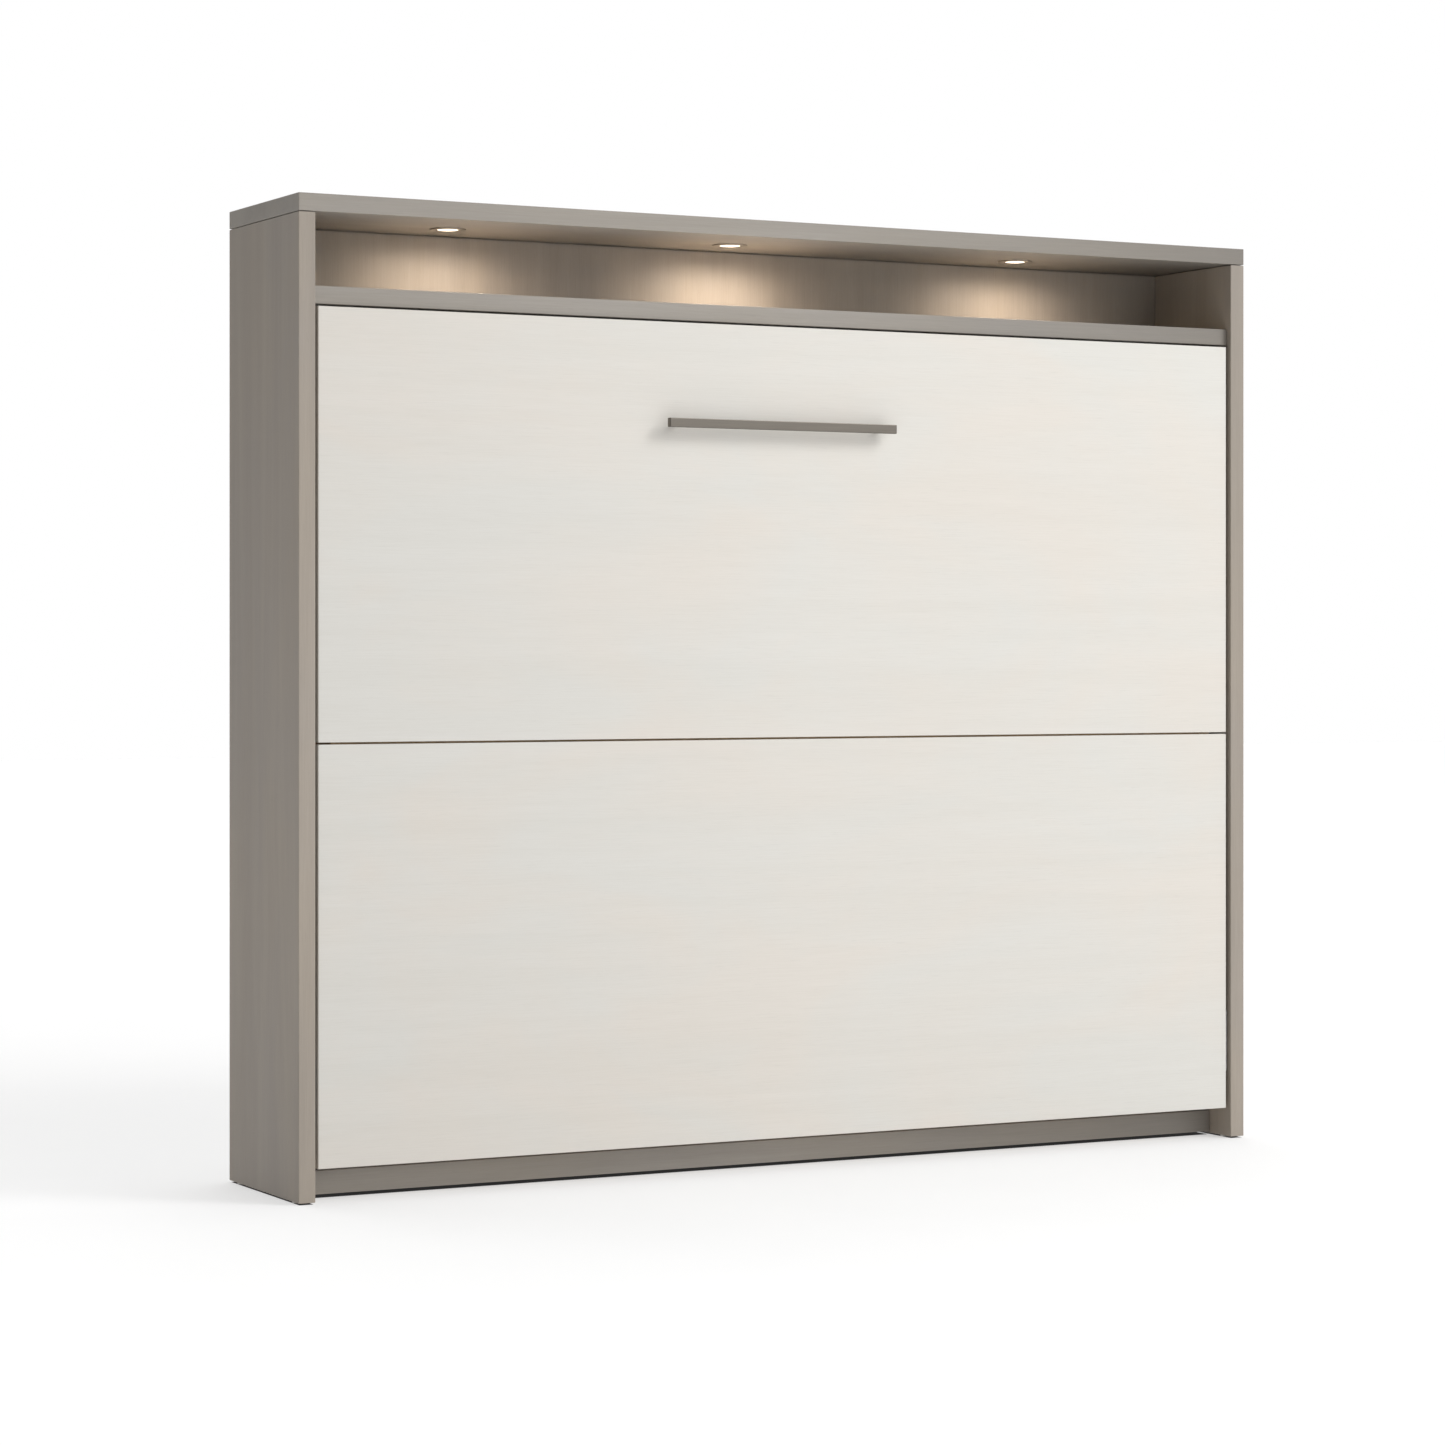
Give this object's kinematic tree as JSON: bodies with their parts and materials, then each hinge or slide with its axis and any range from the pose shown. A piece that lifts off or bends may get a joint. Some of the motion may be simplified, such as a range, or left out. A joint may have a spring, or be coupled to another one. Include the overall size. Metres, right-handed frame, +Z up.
{
  "type": "murphy wall bed",
  "caption": "Horizontal wall bed: a two-panel bed front that tilts down out of a taupe wood-grain cabinet, with a downlit display niche above and a bar handle.",
  "frame": {"origin": "middle of the footprint (handle bar included), on the floor", "axes": "+X to the right as seen from the room, +Y back towards the wall, +Z up; the bed front faces -Y"},
  "size_m": [2.235, 0.4086, 1.965],
  "materials": {
    "carcass_laminate": "satin",
    "face_laminate": "satin",
    "handle_metal": "satin",
    "plywood": "matte",
    "beech": "matte",
    "plated_steel": "satin",
    "black_steel": "satin",
    "chromed_rod": "polished",
    "mattress_ticking": "matte",
    "strap_webbing": "matte",
    "foot_rubber": "matte",
    "light_metal": "satin",
    "light_diffuser": "satin",
    "white_plastic": "matte",
    "cable_sheath": "matte"
  },
  "bodies": {
    "cabinet": {"left_side_panel": "carcass_laminate", "right_side_panel": "carcass_laminate", "top_panel": "carcass_laminate", "niche_shelf": "carcass_laminate", "niche_back_panel": "carcass_laminate", "plinth": "carcass_laminate", "rear_rail_upper": "carcass_laminate", "rear_rail_lower": "carcass_laminate", "floor_glide_front_left": "white_plastic", "floor_glide_front_right": "white_plastic", "floor_glide_rear_left": "white_plastic", "floor_glide_rear_right": "white_plastic", "wall_bracket_left": "plated_steel", "wall_bracket_right": "plated_steel", "downlight_housing_left": "light_metal", "downlight_lens_left": "light_diffuser", "light_cable_left": "cable_sheath", "downlight_housing_middle": "light_metal", "downlight_lens_middle": "light_diffuser", "light_cable_middle": "cable_sheath", "downlight_housing_right": "light_metal", "downlight_lens_right": "light_diffuser", "light_cable_right": "cable_sheath", "light_driver": "white_plastic", "pivot_plate_left": "plated_steel", "strut_anchor_left": "plated_steel", "pivot_plate_right": "plated_steel", "strut_anchor_right": "plated_steel"},
    "bed": {"face_panel_lower": "face_laminate", "face_panel_upper": "face_laminate", "handle_bar": "handle_metal", "handle_post_left": "handle_metal", "handle_post_right": "handle_metal", "frame_rail_lower": "plywood", "frame_rail_upper": "plywood", "frame_end_rail_left": "plywood", "frame_end_rail_right": "plywood", "frame_centre_beam": "plywood", "slat_1": "beech", "slat_2": "beech", "slat_3": "beech", "slat_4": "beech", "slat_5": "beech", "slat_6": "beech", "slat_7": "beech", "mattress": "mattress_ticking", "mattress_strap_left": "strap_webbing", "mattress_strap_right": "strap_webbing", "bed_bracket_left": "black_steel", "leg_pivot_left": "plated_steel", "bed_bracket_right": "black_steel", "leg_pivot_right": "plated_steel"},
    "left_leg": {"leg_left": "plated_steel", "leg_foot_left": "foot_rubber"},
    "right_leg": {"leg_right": "plated_steel", "leg_foot_right": "foot_rubber"},
    "left_strut_tube": {"strut_tube_left": "black_steel"},
    "left_strut_rod": {"strut_rod_left": "chromed_rod"},
    "right_strut_tube": {"strut_tube_right": "black_steel"},
    "right_strut_rod": {"strut_rod_right": "chromed_rod"}
  },
  "joints": [
    {"name": "bed_tilt", "type": "hinge", "parent": "cabinet", "child": "bed", "pos_m": [0, -0.1207, 0.215], "axis": [1, 0, 0], "range_deg": [0, 90]},
    {"name": "left_leg_swing", "type": "hinge", "parent": "bed", "child": "left_leg", "pos_m": [-1.0785, -0.0757, 1.6], "axis": [1, 0, 0], "range_deg": [-90.5, 0]},
    {"name": "right_leg_swing", "type": "hinge", "parent": "bed", "child": "right_leg", "pos_m": [1.0785, -0.0757, 1.6], "axis": [1, 0, 0], "range_deg": [-90.5, 0]},
    {"name": "left_strut_tilt", "type": "hinge", "parent": "cabinet", "child": "left_strut_tube", "pos_m": [-1.0595, -0.0557, 0.8], "axis": [1, 0, 0], "range_deg": [-4, 0]},
    {"name": "left_strut_slide", "type": "slide", "parent": "left_strut_tube", "child": "left_strut_rod", "axis": [0, 0.0542, -0.9985], "range_m": [-0.162, 0]},
    {"name": "right_strut_tilt", "type": "hinge", "parent": "cabinet", "child": "right_strut_tube", "pos_m": [1.0595, -0.0557, 0.8], "axis": [1, 0, 0], "range_deg": [-4, 0]},
    {"name": "right_strut_slide", "type": "slide", "parent": "right_strut_tube", "child": "right_strut_rod", "axis": [0, 0.0542, -0.9985], "range_m": [-0.162, 0]}
  ],
  "couplings": [
    {"joint": "left_leg_swing", "follows": "bed_tilt", "ratio": -1},
    {"joint": "right_leg_swing", "follows": "bed_tilt", "ratio": -1},
    {"joint": "left_strut_tilt", "follows": "bed_tilt", "ratio": -0.041074},
    {"joint": "left_strut_slide", "follows": "bed_tilt", "m_per_rad": -0.10245},
    {"joint": "right_strut_tilt", "follows": "bed_tilt", "ratio": -0.041074},
    {"joint": "right_strut_slide", "follows": "bed_tilt", "m_per_rad": -0.10245}
  ]
}
